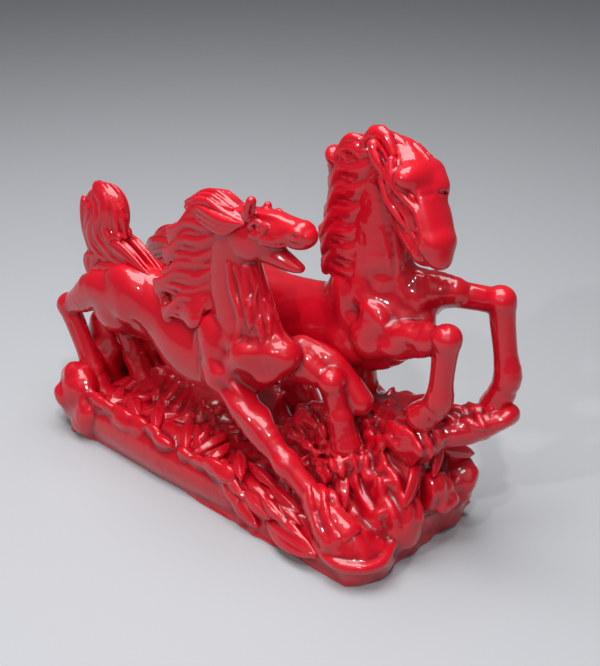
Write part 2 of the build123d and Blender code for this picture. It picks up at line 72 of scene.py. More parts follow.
class Clay:
    """A block of clay. Each grid point holds its distance to the surface, negative inside."""

    def __init__(self, low, high, step):
        self.low = np.array(low, dtype=float)
        self.step = step
        self.counts = np.ceil((np.array(high) - self.low) / step).astype(int) + 1
        self.field = np.full(self.counts, EMPTY, dtype=np.float32)

    def window(self, low, high):
        """The part of the grid between two corners, as slices and open coordinate arrays."""
        first = np.clip(np.floor((np.asarray(low) - self.low) / self.step).astype(int), 0, self.counts)
        last = np.clip(np.ceil((np.asarray(high) - self.low) / self.step).astype(int) + 1, 0, self.counts)
        spans = tuple(slice(a, b) for a, b in zip(first, last))
        lines = [
            (self.low[i] + self.step * np.arange(first[i], last[i])).astype(np.float32) for i in range(3)
        ]
        return spans, np.meshgrid(*lines, indexing="ij", sparse=True)

    def blend_in(self, spans, distance, soft, carve=False):
        """Joins a form to the clay, or takes it away, with a soft seam."""
        if distance.size == 0:
            return
        old = self.field[spans]
        if carve:
            old = -old
        gap = np.maximum(soft - np.abs(old - distance), 0) / soft
        joined = np.minimum(old, distance) - gap * gap * soft / 4
        self.field[spans] = -joined if carve else joined

    def oval(self, center, axes, radii, soft, carve=False):
        """An ellipsoid with the given axes, as rows, and radii."""
        reach = max(radii) + soft + MARGIN
        center = np.asarray(center, dtype=float)
        spans, lines = self.window(center - reach, center + reach)
        offset = [line - middle for line, middle in zip(lines, center)]
        scaled = 0
        plain = 0
        for axis, radius in zip(axes, radii):
            along = along_axis(offset, axis)
            scaled = scaled + (along / radius) ** 2
            plain = plain + along**2
        scaled = np.sqrt(np.maximum(scaled, TINY))
        self.blend_in(spans, np.sqrt(plain) * (1 - 1 / scaled), soft, carve)

    def bar(self, start, end, side, reach):
        """Distances to a straight bar of oval section with rounded ends. Ends hold place and half sizes."""
        length = max(np.linalg.norm(end[:3] - start[:3]), TINY)
        along = (end[:3] - start[:3]) / length
        side = unit(side - along * np.dot(side, along))
        spans, lines = self.window(np.minimum(start, end)[:3] - reach, np.maximum(start, end)[:3] + reach)
        offset = [line - place for line, place in zip(lines, start)]
        run = along_axis(offset, along)
        share = np.clip(run / length, 0, 1)
        past = run - share * length
        across = along_axis(offset, side)
        above = along_axis(offset, np.cross(along, side))
        width = start[3] + share * (end[3] - start[3])
        depth = start[4] + share * (end[4] - start[4])
        scaled = (across / width) ** 2 + (above / depth) ** 2 + (past * 2 / (width + depth)) ** 2
        scaled = np.sqrt(np.maximum(scaled, TINY))
        plain = np.sqrt(across**2 + above**2 + past**2)
        return spans, plain * (1 - 1 / scaled)

    def tube(self, stations, soft, side=(0, 1, 0), carve=False, pieces=3):
        """A bar through stations (x, y, z, half width and, unless round, half depth)."""
        stations = smooth_run(stations, pieces)
        side = np.asarray(side, dtype=float)
        reach = stations[:, 3:].max() + soft + MARGIN
        whole, _ = self.window(stations[:, :3].min(axis=0) - reach, stations[:, :3].max(axis=0) + reach)
        form = np.full([part.stop - part.start for part in whole], EMPTY, dtype=np.float32)
        for a, b in zip(stations, stations[1:]):
            spans, distance = self.bar(a, b, side, reach)
            inner = tuple(slice(p.start - w.start, p.stop - w.start) for p, w in zip(spans, whole))
            form[inner] = np.minimum(form[inner], distance)
        self.blend_in(whole, form, soft, carve)

    def mesh(self, name):
        """The surface as a mesh object: one point per crossed cell, one face per crossed edge."""
        field = self.field
        inside = field < 0
        count = np.zeros(self.counts - 1, dtype=np.uint8)
        nx, ny, nz = count.shape
        for a, b, c in CORNERS:
            count += inside[a : a + nx, b : b + ny, c : c + nz]
        cells = np.argwhere((count > 0) & (count < 8))
        index = np.full(count.shape, -1, dtype=np.int32)
        index[tuple(cells.T)] = np.arange(len(cells))
        values = np.stack([field[tuple((cells + corner).T)] for corner in CORNERS], axis=1)
        total = np.zeros((len(cells), 3))
        hits = np.zeros(len(cells))
        for a, b in EDGES:
            crossed = (values[:, a] < 0) != (values[:, b] < 0)
            share = np.where(crossed, values[:, a] / np.where(crossed, values[:, a] - values[:, b], 1), 0)
            spot = CORNERS[a] + share[:, None] * (CORNERS[b] - CORNERS[a])
            total += spot * crossed[:, None]
            hits += crossed
        points = self.low + self.step * (cells + total / hits[:, None])
        quads = []
        for axis in range(3):
            first = np.moveaxis(inside, axis, 0)
            pick = np.moveaxis(index, axis, 0)
            here = first[:-1, 1:-1, 1:-1]
            there = first[1:, 1:-1, 1:-1]
            for spots, turned in ((here & ~there, axis == 1), (~here & there, axis != 1)):
                i, j, k = np.nonzero(spots)
                ring = [pick[i, j, k], pick[i, j + 1, k], pick[i, j + 1, k + 1], pick[i, j, k + 1]]
                quads.append(np.stack(ring[::-1] if turned else ring, axis=1))
        return finished_mesh(name, points, np.concatenate(quads))


def smooth_run(stations, pieces):
    """A curve through the stations, with some more stations between each two."""
    stations = np.array([list(s) + [s[3]] * (5 - len(s)) for s in stations], dtype=float)
    padded = np.vstack([2 * stations[0] - stations[1], stations, 2 * stations[-1] - stations[-2]])
    padded[:, 3:] = np.maximum(padded[:, 3:], THINNEST)
    run = []
    for i in range(1, len(padded) - 2):
        p0, p1, p2, p3 = padded[i - 1 : i + 3]
        for t in np.arange(pieces) / pieces:
            bend = 2 * p0 - 5 * p1 + 4 * p2 - p3
            twist = -p0 + 3 * p1 - 3 * p2 + p3
            run.append(0.5 * (2 * p1 + (p2 - p0) * t + bend * t**2 + twist * t**3))
    run.append(stations[-1])
    run = np.array(run)
    run[:, 3:] = np.maximum(run[:, 3:], THINNEST)
    return run


def neighbour_mean(points, pairs, degree):
    """Each point's mean over its neighbours."""
    mean = np.zeros_like(points)
    for axis in range(3):
        total = np.bincount(pairs[:, 0], weights=points[pairs[:, 1], axis], minlength=len(points))
        total += np.bincount(pairs[:, 1], weights=points[pairs[:, 0], axis], minlength=len(points))
        mean[:, axis] = total / degree
    return mean


def without_crumbs(points, quads):
    """The points and faces of every lump that is larger than a crumb."""
    label = np.arange(len(points))
    while True:
        lowest = label[quads].min(axis=1)
        fresh = label.copy()
        for corner in range(4):
            np.minimum.at(fresh, quads[:, corner], lowest)
        fresh = fresh[fresh]
        if np.array_equal(fresh, label):
            break
        label = fresh
    keep = np.bincount(label)[label] > CRUMB
    place = np.cumsum(keep) - 1
    return points[keep], place[quads[keep[quads[:, 0]]]]


def finished_mesh(name, points, quads):
    """An object from points in millimetres, evened out, with a layer that tells hollows from ridges."""
    points, quads = without_crumbs(points, quads)
    pairs = np.concatenate([quads[:, [k, (k + 1) % 4]] for k in range(4)])
    pairs = np.unique(np.sort(pairs, axis=1), axis=0)
    degree = np.maximum(np.bincount(pairs.ravel(), minlength=len(points)), 1)
    for pull in (0.5, -0.5):
        points = points + pull * (neighbour_mean(points, pairs, degree) - points)
    blurred = points
    for _ in range(BLUR_PASSES):
        blurred = neighbour_mean(blurred, pairs, degree)
    mesh = bpy.data.meshes.new(name)
    mesh.vertices.add(len(points))
    mesh.vertices.foreach_set("co", (points * MM).astype(np.float32).ravel())
    mesh.loops.add(quads.size)
    mesh.loops.foreach_set("vertex_index", quads.astype(np.int32).ravel())
    mesh.polygons.add(len(quads))
    mesh.polygons.foreach_set("loop_start", np.arange(0, quads.size, 4, dtype=np.int32))
    mesh.update(calc_edges=True)
    mesh.polygons.foreach_set("use_smooth", np.ones(len(quads), dtype=bool))
    normals = np.zeros(len(points) * 3, dtype=np.float32)
    mesh.vertices.foreach_get("normal", normals)
    # How far each point sinks below its blurred neighbours; the enamel darkens with it, partly as painted
    # shade.
    hollow = ((blurred - points) * normals.reshape(-1, 3)).sum(axis=1)
    layer = mesh.attributes.new("hollow", "FLOAT", "POINT")
    layer.data.foreach_set("value", hollow.astype(np.float32))
    piece = bpy.data.objects.new(name, mesh)
    bpy.context.scene.collection.objects.link(piece)
    return piece


def axes_from(along, side=(0, 1, 0)):
    """Three square directions: along, sideways and up."""
    along = unit(along)
    side = unit(np.asarray(side) - along * np.dot(side, along))
    return np.array([along, side, np.cross(along, side)])


def pitched(degrees):
    """Axes tilted nose down by some degrees about the sideways direction."""
    angle = math.radians(degrees)
    return axes_from((math.cos(angle), 0, -math.sin(angle)))


def noise(clay, cell, chance):
    """Soft random hills and hollows all through the clay, about one per cell, from -1 to 1."""
    weights = []
    for count in clay.counts:
        knots = int(count * clay.step / cell) + 5
        place = np.arange(count)[:, None] * clay.step / cell + 2 - np.arange(knots)[None, :]
        reach = np.abs(place)
        near = 2 / 3 - reach**2 + reach**3 / 2
        far = np.maximum(2 - reach, 0) ** 3 / 6
        weights.append(np.where(reach < 1, near, far))
    grid = chance.uniform(-1.6, 1.6, [w.shape[1] for w in weights])
    for w in weights:
        grid = np.moveaxis(np.tensordot(w, grid, axes=(1, 0)), 0, -1)
    return grid.astype(np.float32)


class Horse:
    """Lays forms on a horse's clay. Points are (x, z, side), with side from its middle line."""

    def __init__(self, middle, low, high, step):
        self.clay = Clay(low, high, step)
        self.middle = middle

    def at(self, x, z, side=0.0):
        return np.array([x, self.middle + side, z])

    def run(self, stations, soft=2.0, pieces=3, carve=False):
        """A tube through (x, z, side, half width and, unless round, half depth)."""
        placed = [(x, self.middle + side, z, *halves) for x, z, side, *halves in stations]
        self.clay.tube(placed, soft, pieces=pieces, carve=carve)

    def muscle(self, x, z, side, length, width, height, tilt, soft, carve=False):
        """An oval muscle on each side."""
        for sign in (-1, 1):
            spot = self.at(x, z, side * sign)
            self.clay.oval(spot, pitched(tilt), (length, width, height), soft, carve)

    def cord(self, points, size, soft, carve=False):
        """A thin ridge or groove through (x, z, side) points, on each side."""
        for sign in (-1, 1):
            placed = []
            for i, (x, z, side) in enumerate(points):
                taper = 1 - 0.55 * abs(2 * i / (len(points) - 1) - 1)
                placed.append((*self.at(x, z, side * sign), size * taper))
            self.clay.tube(placed, soft, carve=carve)

    def straps(self, sections, angles, size):
        """Upright ridges down the front of the neck. A section is (x, z, half width, half depth)."""
        for count, angle in enumerate(angles):
            points = []
            for i, (x, z, width, depth) in enumerate(sections):
                turn = math.radians(angle) + 0.10 * math.sin(2.1 * i + 1.7 * count)
                points.append((x + depth * math.cos(turn), z, width * math.sin(turn)))
            self.cord(points, size * (0.8 + 0.35 * (count % 2)), 0.8)

    def folds(self, chance, low, high, along, count, smallest, largest):
        """Low folds that follow one way over the skin, where random (x, z, side) places meet it."""
        field = self.clay.field
        laid = 0
        for place in chance.uniform(low, high, (count * 60, 3)):
            spot = self.at(*place)
            cell = np.rint((spot - self.clay.low) / self.clay.step).astype(int)
            if laid < count and abs(field[tuple(cell)]) < 0.6:
                steps = np.eye(3, dtype=int)
                outward = unit([field[tuple(cell + step)] - field[tuple(cell - step)] for step in steps])
                way = unit(along) + chance.normal(size=3) * 0.2
                axes = axes_from(way - outward * np.dot(way, outward), np.cross(outward, way))
                self.clay.oval(spot, axes, chance.uniform(smallest, largest), 1.8)
                laid += 1

    def rumple(self, chance, center, reach, cell, height):
        """Uneven modelling round a place (x, z, side) that fades out over the reach."""
        middle = self.at(*center)
        spans, lines = self.clay.window(middle - reach, middle + reach)
        far = sum((line - place) ** 2 for line, place in zip(lines, middle)) / reach**2
        lumps = noise(self.clay, cell, chance)[spans]
        self.clay.field[spans] += lumps * np.clip(1.4 - 1.4 * far, 0, 1) * height

    def head_tools(self, poll, muzzle, lean, long, broad, eye=18):
        """Ways to place forms on a head by (run, rise, side) from the poll toward the muzzle."""
        poll = self.at(*poll)
        axes = axes_from(self.at(*muzzle) - poll, (0.0, 1.0, lean))
        forward, left, up = axes

        def spot(run, rise, side):
            reach = np.interp(run, (-5, 0, 18, 48, 53), (-5, 0, eye, 48, 53)) * long
            return poll + forward * reach + (up * rise + left * side) * broad

        def bone(stations, soft=1.5, sign=1, carve=False):
            placed = [
                (*spot(run, rise, side * sign), *(half * broad for half in halves))
                for run, rise, side, *halves in stations
            ]
            self.clay.tube(placed, soft, side=left, carve=carve)

        def lump(run, rise, side, radii, soft=1.0, carve=False):
            self.clay.oval(spot(run, rise, side), axes, np.array(radii) * broad, soft, carve)

        return bone, lump

    def level_head(self, poll, muzzle, jaw, long, eye):
        """A head seen from its side, mouth open. jaw lists the stations of the lower jaw."""
        bone, lump = self.head_tools(poll, muzzle, 0.0, long, 1.0, eye)
        bone([
            (-3, -1, 0, 5.5, 6.5), (4, -0.4, 0, 7.6, 8.8), (12, -1.6, 0, 8.2, 10.2), (20, 0.2, 0, 6.9, 8.2),
            (28, 1.4, 0, 6.2, 6.8), (36, 1.7, 0, 5.8, 6.0), (43, 1.4, 0, 5.6, 5.4), (48, 0.6, 0, 4.9, 4.8),
        ])
        bone(jaw, 2.0)
        bone([
            (2, 7.4, 0, 3.9, 1.8), (20, 8.0, 0, 3.9, 1.6), (34, 6.4, 0, 3.3, 1.4), (45, 5.2, 0, 2.6, 1.2),
        ], 1.2)
        lump(46.6, 1.2, 0, (3.0, 4.4, 5.2), 1.5)
        for sign in (-1, 1):
            lump(10, -4.6, 5.0 * sign, (9.0, 3.8, 8.4))
            lump(24, 0.6, 5.0 * sign, (7.0, 1.6, 3.0), 1.5)
            bone([(15, 0.6, 7.6, 1.4), (24, -1.2, 6.4, 1.2), (36, -0.6, 5.0, 0.8)], 1.0, sign)
            bone([(18, -2.6, 7.2, 0.9), (27, -3.6, 5.6, 0.9), (37, -2.8, 4.8, 0.6)], 0.8, sign)
            lump(18, 4.0, 7.8 * sign, (4.0, 2.4, 2.9), 0.9, True)
            lump(18, 3.8, 6.4 * sign, (2.6, 1.9, 2.1), 0.3)
            bone([(13.5, 4.0, 7.0, 1.0), (17, 6.7, 7.3, 1.5, 1.3), (22.5, 4.6, 6.4, 0.9)], 0.6, sign)
            bone([(14.5, 3.2, 7.2, 0.7), (18, 1.3, 7.6, 0.9, 0.8), (21.5, 3.2, 6.7, 0.6)], 0.5, sign)
            lump(44, 2.2, 4.3 * sign, (3.9, 2.2, 3.1))
            lump(45.4, 2.4, 6.3 * sign, (1.9, 1.1, 0.9), 0.8, True)
            bone([(35, -2.8, 5.8, 0.55), (50, -2.4, 4.4, 0.55)], 0.8, sign, True)
        lump(41, -2.6, 0, (6.0, 4.4, 3.0), 1.5)
        lump(45.6, 4.6, 0, (3.6, 4.2, 2.4), 1.0)

    def bowed_head(self, poll, muzzle, lean):
        """A head seen from its front, with a domed brow, a flat nose and a closed mouth."""
        bone, lump = self.head_tools(poll, muzzle, lean, 0.96, 1.07)
        bone([
            (-2, -3, 0, 6.5, 7), (8, -2.5, 0, 8.6, 9), (18, -3, 0, 7.8, 8), (26, -2.8, 0, 6.4, 6.4),
            (34, -2, 0, 5.8, 5.6), (41, -1.8, 0, 6.0, 5.4), (44, -2, 0, 5.2, 4.4),
        ], 2.0)
        bone([
            (6, -9.5, 0, 7.4, 6.4), (17, -10.8, 0, 7.6, 5.8), (26, -10, 0, 7.4, 5.4), (34, -8.6, 0, 7.2, 5.2),
            (39, -7, 0, 6.8, 5.2),
        ], 2.5)
        bone([(19, 3.8, 0, 7.2, 2.6), (29, 3.2, 0, 7.2, 2.4), (37, 2.0, 0, 6.8, 2.4)], 3.0)
        lump(38, -1.6, 0, (5.8, 8.2, 6.6), 2.5)
        lump(39, -7.2, 0, (4.8, 6.8, 4.4), 1.5)
        lump(10.5, 2.6, -4.2, (5.6, 8.8, 5.2), 3.0)
        lump(9, 2.4, 4.6, (6.0, 6.4, 5.4), 3.0)
        lump(15.5, 4.2, 4.6, (4.8, 4.8, 4.0), 3.5)
        for sign in (-1, 1):
            lump(13, -6.5, 5.4 * sign, (8.5, 4.2, 7.0), 1.5)
            bone([
                (1, 0, 9.6, 1.6), (10, -2.4, 10.6, 1.5), (18, -0.8, 8.8, 1.4), (25, 1.8, 8.0, 1.3),
                (36, 0.6, 7.8, 0.9),
            ], 1.8, sign)
            bone([
                (6, -8, 9.8, 1.2), (13, -9.4, 9.2, 1.3), (20, -8.0, 8.4, 1.5), (29, -6.4, 6.8, 0.8),
            ], 0.9, sign)
            bone([(19.5, 5.6, 6.0, 0.6), (19.8, 6.4, 4, 0.7), (19.5, 6.8, 1.5, 0.5)], 1.0, sign, True)
            bone([(33, -4.6, 8.6, 0.6), (42, -4.6, 6.4, 0.6)], 1.2, sign, True)

    def ear(self, root, tip, size, blunt):
        """An ear with a hollow in front."""
        root = self.at(*root)
        tip = self.at(*tip)
        reach = tip - root
        self.clay.tube([
            (*root, size * 0.9, size * 0.8), (*(root + reach * 0.4), size, size * 0.85),
            (*(root + reach * 0.75), size * 0.8, size * 0.7), (*tip, size * blunt),
        ], 0.8)
        shift = np.array([size * 0.8, -size * 0.3, 0])
        self.clay.tube([
            (*(root + reach * 0.35 + shift), size * 0.35, size * 0.4),
            (*(root + reach * 0.85 + shift * 0.7), size * 0.2, size * 0.25),
        ], 0.6, carve=True)

    def foreleg(self, shoulder, elbow, knee, fetlock, hoof, toe, side, slim=1.0):
        top = [(shoulder, 7.4, 10.0), (elbow, 7.2 * slim, 8.8 * slim)]
        self.leg(top, elbow, knee, fetlock, hoof, toe, side, 6.2, slim)

    def hindleg(self, hip, stifle, hock, fetlock, hoof, toe, side):
        self.leg([(hip, 8.0, 12.0), (stifle, 7.6, 10.5)], stifle, hock, fetlock, hoof, toe, side, 5.8)

    def leg(self, top, upper, bend, fetlock, hoof, toe, side, bend_size, slim=1.0):
        """A leg from its top muscles to its hoof. Points are (x, z). side is (top, low)."""
        joints = (upper, bend, fetlock, hoof, toe)
        upper, bend, fetlock, hoof, toe = (np.array(point, dtype=float) for point in joints)
        top_side, low_side = side

        def between(start, end, share, width, depth):
            spot = start + (end - start) * share
            weight = 0.35 + 0.65 * share if start is upper else 1.0
            return (*spot, top_side + (low_side - top_side) * weight, width, depth)

        self.run([(*point, top_side, width, depth) for point, width, depth in top] + [
            between(upper, bend, 0.5, 6.4 * slim, 7.6 * slim), between(upper, bend, 0.82, 5.2, 5.6),
            between(bend, fetlock, 0.0, bend_size * 0.95, bend_size * 0.95),
            between(bend, fetlock, 0.28, 5.0, 5.5), between(bend, fetlock, 0.7, 4.8, 5.2),
            between(bend, fetlock, 1.0, 5.8, 6.2), between(fetlock, hoof, 0.8, 5.2, 5.5),
        ], 1.5)
        shin = bend - fetlock
        square = np.array([-shin[1], shin[0]]) / np.linalg.norm(shin)
        outward = unit(2 * bend - upper - fetlock)
        rear = -1.0 if np.dot(square, outward) > 0 else 1.0
        for offset, size in ((rear * 4.0, 1.7), (-rear * 3.6, 1.4)):
            low = fetlock + shin * 0.02 + square * offset
            high = fetlock + shin * 0.86 + square * offset * 0.9
            self.run([(*low, low_side, size), (*high, low_side, size)], 1.0)
        for sign in (-1, 1):
            low = fetlock + shin * 0.2 + square * rear * 2.2
            high = fetlock + shin * 0.75 + square * rear * 2.2
            flank = low_side + 4.9 * sign
            self.run([(*low, flank, 0.7), (*high, flank, 0.7)], 1.2, carve=True)
        cap = bend + outward * 1.4
        flatter = bend_size * 0.86
        self.clay.oval(self.at(*cap, low_side), pitched(0), (flatter, bend_size * 0.92, flatter), 2.5)
        spur = fetlock + square * rear * 4.2 - shin * 0.04
        self.clay.oval(self.at(*spur, low_side), pitched(0), (2.4, 2.8, 2.8), 1.2)
        toward = unit(toe - hoof)
        sole = hoof + toward * 7.5
        self.run([(*hoof, low_side, 5.4, 5.8), (*sole, low_side, 6.9, 7.2)], 0.6)
        flat = self.at(*(sole + toward * 8.5), low_side)
        heading = self.at(*toward) - self.at(0, 0)
        self.clay.oval(flat, axes_from(heading), (5.0, 15.0, 15.0), 0.6, carve=True)
        ring = hoof - toward * 0.8
        self.run([(*ring, low_side, 5.7, 6.1), (*(ring + toward * 0.6), low_side, 5.7, 6.1)], 0.5)


def strand(clay, points, thick, soft, flat=0.75, end=0.25, start=0.8):
    """One lock of hair, thickest a third of the way along and drawn out toward its end."""
    count = len(points) - 1
    stations = []
    for i, point in enumerate(points):
        share = i / count
        if share < 0.35:
            size = thick * (start + (1 - start) * share / 0.35)
        else:
            size = thick * max(1.2 - 0.9 * share**1.6, end)
        stations.append((*point, size * flat, size))
    clay.tube(stations, soft, pieces=2)


class Paint:
    """A material in the making: its shader and the nodes that feed it."""

    def __init__(self, name):
        self.material = bpy.data.materials.new(name)
        self.material.use_nodes = True
        self.tree = self.material.node_tree
        self.shader = self.tree.nodes["Principled BSDF"]

    def fill(self, node, inputs):
        """Sets a node's inputs, each to a value or to another node's output."""
        for key, value in inputs.items():
            if isinstance(value, bpy.types.NodeSocket):
                self.tree.links.new(value, node.inputs[key])
            else:
                node.inputs[key].default_value = value

    def node(self, kind, inputs, output, **settings):
        """One output of a new node."""
        node = self.tree.nodes.new("ShaderNode" + kind)
        for key, value in settings.items():
            setattr(node, key, value)
        self.fill(node, inputs)
        return node.outputs[output]

    def ramp(self, share, stops):
        """Colours at places from 0 to 1, picked by a share."""
        color = self.node("ValToRGB", {"Fac": share}, "Color")
        elements = color.node.color_ramp.elements
        while len(elements) < len(stops):
            elements.new(0.5)
        for element, (place, tint) in zip(elements, stops):
            element.position = place
            element.color = tint
        return color


def enamel(name, grain, ripple):
    """Thick glossy red enamel: darker toward hollows, partly where the paint pools deeper and partly as
    painted shade in the creases, and thinner and brighter on ridges.
    """
    paint = Paint(name)
    hollow = paint.node("Attribute", {}, "Fac", attribute_name="hollow")
    spread = paint.node("MapRange", {"From Min": -0.35, "From Max": 0.45, "Value": hollow}, "Result")
    place = paint.node("TexCoord", {}, "Object")
    cloud = paint.node("TexNoise", {"Scale": 45, "Detail": 4, "Vector": place}, "Fac")
    mixed = paint.node("Math", {0: cloud, 1: 0.3, 2: spread}, "Value", operation="MULTIPLY_ADD")
    # Ramp from bright red on ridges to dark red in hollows; the dark end is partly deeper paint and partly
    # painted shade.
    color = paint.ramp(mixed, [
        (0.25, (0.60, 0.002, 0.014, 1)), (0.62, (0.50, 0.0015, 0.012, 1)), (1.0, (0.26, 0.0008, 0.007, 1)),
    ])
    peel = paint.node("TexNoise", {"Scale": grain, "Detail": 2, "Vector": place}, "Fac")
    bump = paint.node("Bump", {"Strength": ripple, "Distance": 0.0008, "Height": peel}, "Normal")
    paint.fill(paint.shader, {
        "Base Color": color, "Normal": bump, "Coat Normal": bump, "Roughness": 0.4,
        "Specular IOR Level": 0.2, "Coat Weight": 1.0, "Coat Roughness": 0.03, "Coat IOR": 1.5,
    })
    return paint.material


SMOOTH = enamel("smooth_enamel", 210, 0.16)
RIPPLED = enamel("rippled_enamel", 240, 0.4)


def done(piece, *nodes, paint=SMOOTH):
    """Paints a piece, fixes it to the ornament and hides the CAD nodes that it stands for."""
    piece.data.materials.append(paint)
    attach(piece, "root")
    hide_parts(*nodes)


# The near horse's body
def near_horse():
    chance = np.random.default_rng(2)
    horse = Horse(NEAR_MIDDLE, (-124, -40, 6), (96, 16, 162), SKIN_STEP)
    neck = [
        (9, 86, 11, 20.5), (5, 98, 9.6, 18.4), (2, 109, 8.4, 16.2), (1, 120, 7.7, 13.6), (3, 130, 7.6, 11.8),
    ]
    throat = [(x, z, 0, width, depth) for x, z, width, depth in neck]
    horse.run([
        (-82, 75, 0, 5, 8), (-74, 78, 0, 11, 14), (-60, 80.5, 0, 14, 17.5), (-41, 76, 0, 12.6, 17.0),
        (-21, 70.5, 0, 13.4, 19), (-4, 69, 0, 13.4, 19.5), (9, 73, 0, 13, 17.5), (21, 79, 0, 11.5, 12.5),
        (31, 82, 0, 8, 8.5),
    ], 3.0)
    horse.run([(7, 80, 0, 12.4, 20), *throat, (3, 136, 0, 6.5, 8)], 4.0, 5)
    for muscle in (
        (-62, 84, 7.0, 16, 8.4, 13.5, 14, 1.5), (-73, 73, 8.5, 12, 7.0, 13, 40, 1.5),
        (-50, 67, 14.0, 6, 3.5, 8, -30, 3.0, True), (-24, 67, 6.5, 21, 8.2, 14, 14, 4.0),
        (-2, 78, 8.5, 10, 6.0, 15, -22, 3.0), (2, 66, 9.5, 13, 6.0, 10, 24, 2.5),
        (17, 79, 8.6, 9, 5.2, 8, -14, 2.0),
    ):
        horse.muscle(*muscle)
    horse.clay.oval(horse.at(-11, 85), pitched(12), (13, 5, 6), 4.0)
    horse.cord([(-13, 92, 9.5), (-9, 78, 13.5), (-8, 64, 14.0)], 1.0, 1.8, carve=True)
    horse.cord([(0, 74, 13.6), (10, 67, 13.6), (20, 62, 11.5)], 1.7, 3.0)
    horse.straps([(6, 86, 11.5, 21)] + neck[1:4], (6, 18, 30, 42, 54, 66), 2.0)
    horse.level_head((-2, 134), (43, 139, 4.5), [
        (8, -6.5, 0, 6.2, 7.5), (17, -9.0, 0, 5.2, 5.6), (27, -11.4, 0, 4.4, 4.2), (35, -13.2, 0, 3.6, 3.0),
        (40, -14.0, 0, 2.8, 2.0),
    ], 0.87, 27)
    horse.ear((14.5, 144, -5), (18, 151.5, -6.2), 3.2, 0.7)
    horse.ear((14.5, 140.5, 4.5), (16.5, 146, 5.2), 2.7, 0.7)
    horse.foreleg((4, 64), (15, 56), (44, 40), (65, 27), (73, 24), (82, 19), (-9.0, -12.5))
    horse.foreleg((16, 75), (30, 77), (48, 71.5), (54, 56), (55.5, 51), (58, 43), (8.5, 11.5))
    horse.run([(30, 80, 13, 6, 7), (42, 77, 17, 6, 6.5), (51, 70, 19, 5.6, 6), (58, 62, 20, 6, 6.4)], 2.0)
    horse.hindleg((-62, 80), (-83, 79), (-108.5, 62), (-93, 32), (-89, 25), (-85, 17), (-8.0, -8.0))
    horse.hindleg((-62, 76), (-64, 63), (-87, 52), (-80, 36), (-77, 32), (-73, 23), (8.0, 9.0))
    horse.folds(chance, (18, 90, -15), (34, 117, 4), (0.1, 0, 1), 12, (6, 0.6, 0.5), (11, 0.9, 0.7))
    horse.rumple(chance, (18, 72, -8), 27, 5.0, 3.0)
    return horse.clay.mesh("near_horse_skin")


done(
    near_horse(), "near_trunk", "near_head", "near_right_foreleg", "near_left_foreleg",
    "near_right_hindleg", "near_left_hindleg",
)


# The far horse's body
def far_horse():
    chance = np.random.default_rng(6)
    horse = Horse(FAR_MIDDLE, (-60, -2, 22), (124, 48, 188), SKIN_STEP)
    neck = [(50, 112, 10.6, 20.6), (49, 126, 9.4, 18.6), (48, 140, 8.6, 16.8), (49.5, 151, 8.0, 14.5)]
    horse.run([
        (-37, 78, 0, 5, 8), (-30, 79.5, 0, 11, 14), (-16, 80, 0, 14, 17.5), (0, 81, 0, 12.6, 17.6),
        (18, 82, 0, 13, 19), (36, 85, 0, 13, 20), (52, 90, 0, 12.6, 19), (66, 96.5, 0, 10.5, 14),
        (75, 101, 0, 6, 8),
    ], 3.0)
    throat = [(x, z, 0, width, depth) for x, z, width, depth in neck]
    horse.run([(46, 98, 0, 12, 21), *throat, (51, 160, 0, 7.6, 10.5), (59, 167, 0, 8, 9)], 4.0)
    for muscle in (
        (-18, 84, 7.0, 17, 8.0, 13.5, 5, 2.0), (-24, 74, 8.5, 12, 6.5, 13, 30, 2.0),
        (20, 80, 6.5, 24, 8.2, 15, -6, 4.0), (44, 100, 8.0, 8, 5.5, 17, -24, 2.0),
        (44, 84, 9.5, 12, 5.5, 10, 0, 1.5), (60, 98, 9.0, 9, 6.2, 11, -30, 1.2),
    ):
        horse.muscle(*muscle)
    horse.run([
        (58, 104, 1, 11, 13), (68, 110, 3, 9.5, 11.5), (77, 115, 5, 7.4, 8.5), (86, 116.5, 8, 5.6, 6),
    ], 5.0)
    horse.muscle(68, 92, 5.2, 9, 5.8, 10, -16, 2.0)
    horse.straps([(49, 108, 11, 19)] + neck[1:3], (12, 30, 48), 1.3)
    horse.cord([(50, 136, 9.6), (53, 118, 11.6), (62, 104, 12.0)], 1.0, 1.5, carve=True)
    horse.bowed_head((66, 172, -1.5), (92.5, 140, -11.5), 0.05)
    horse.ear((61, 167, -10), (55, 176.5, -11), 4.4, 0.6)
    horse.ear((67, 169, 7), (61, 172, 10), 3.0, 0.6)
    horse.foreleg((56, 90), (72, 95), (96, 104), (95, 76), (92, 70), (86, 63), (-8.5, -10.0))
    horse.foreleg((62, 102), (80, 113), (104, 115), (111, 83), (109, 74), (106, 65), (8.5, 15.0), 0.75)
    horse.hindleg((-16, 80), (-12, 66), (-35, 60), (-31, 45), (-28, 40), (-23, 32), (-8.5, -9.0))
    horse.hindleg((-16, 80), (-20, 68), (-47, 62), (-44, 43), (-41, 38), (-36, 30), (8.5, 9.0))
    horse.rumple(chance, (66, 104, -6), 25, 5.0, 3.0)
    return horse.clay.mesh("far_horse_skin")


done(
    far_horse(), "far_trunk", "far_head", "far_right_foreleg", "far_left_foreleg",
    "far_right_hindleg", "far_left_hindleg",
)


# Hair: every mane and tail is a solid core with strands laid over it
def lock(horse, root, bend, tip, thick, count, fan, wave, end, start):
    """A few strands side by side that leave root, pass under bend and flick out at tip."""
    root, bend, tip = (horse.at(*spot) for spot in (root, bend, tip))
    fan = np.array(fan, dtype=float)
    for k in range(count):
        offset = (k - (count - 1) / 2) * thick * 1.15
        points = []
        for share in np.linspace(0, 1, 9):
            spot = root * (1 - share) ** 2 + 2 * bend * share * (1 - share) + tip * share**2
            swing = offset * math.sin(math.pi * (0.25 + 0.62 * share)) + wave * math.sin(9 * share + k)
            points.append(spot + fan * swing)
        strand(horse.clay, points, thick * (0.85 + 0.3 * (k % 2)), 0.7, end=end, start=start)


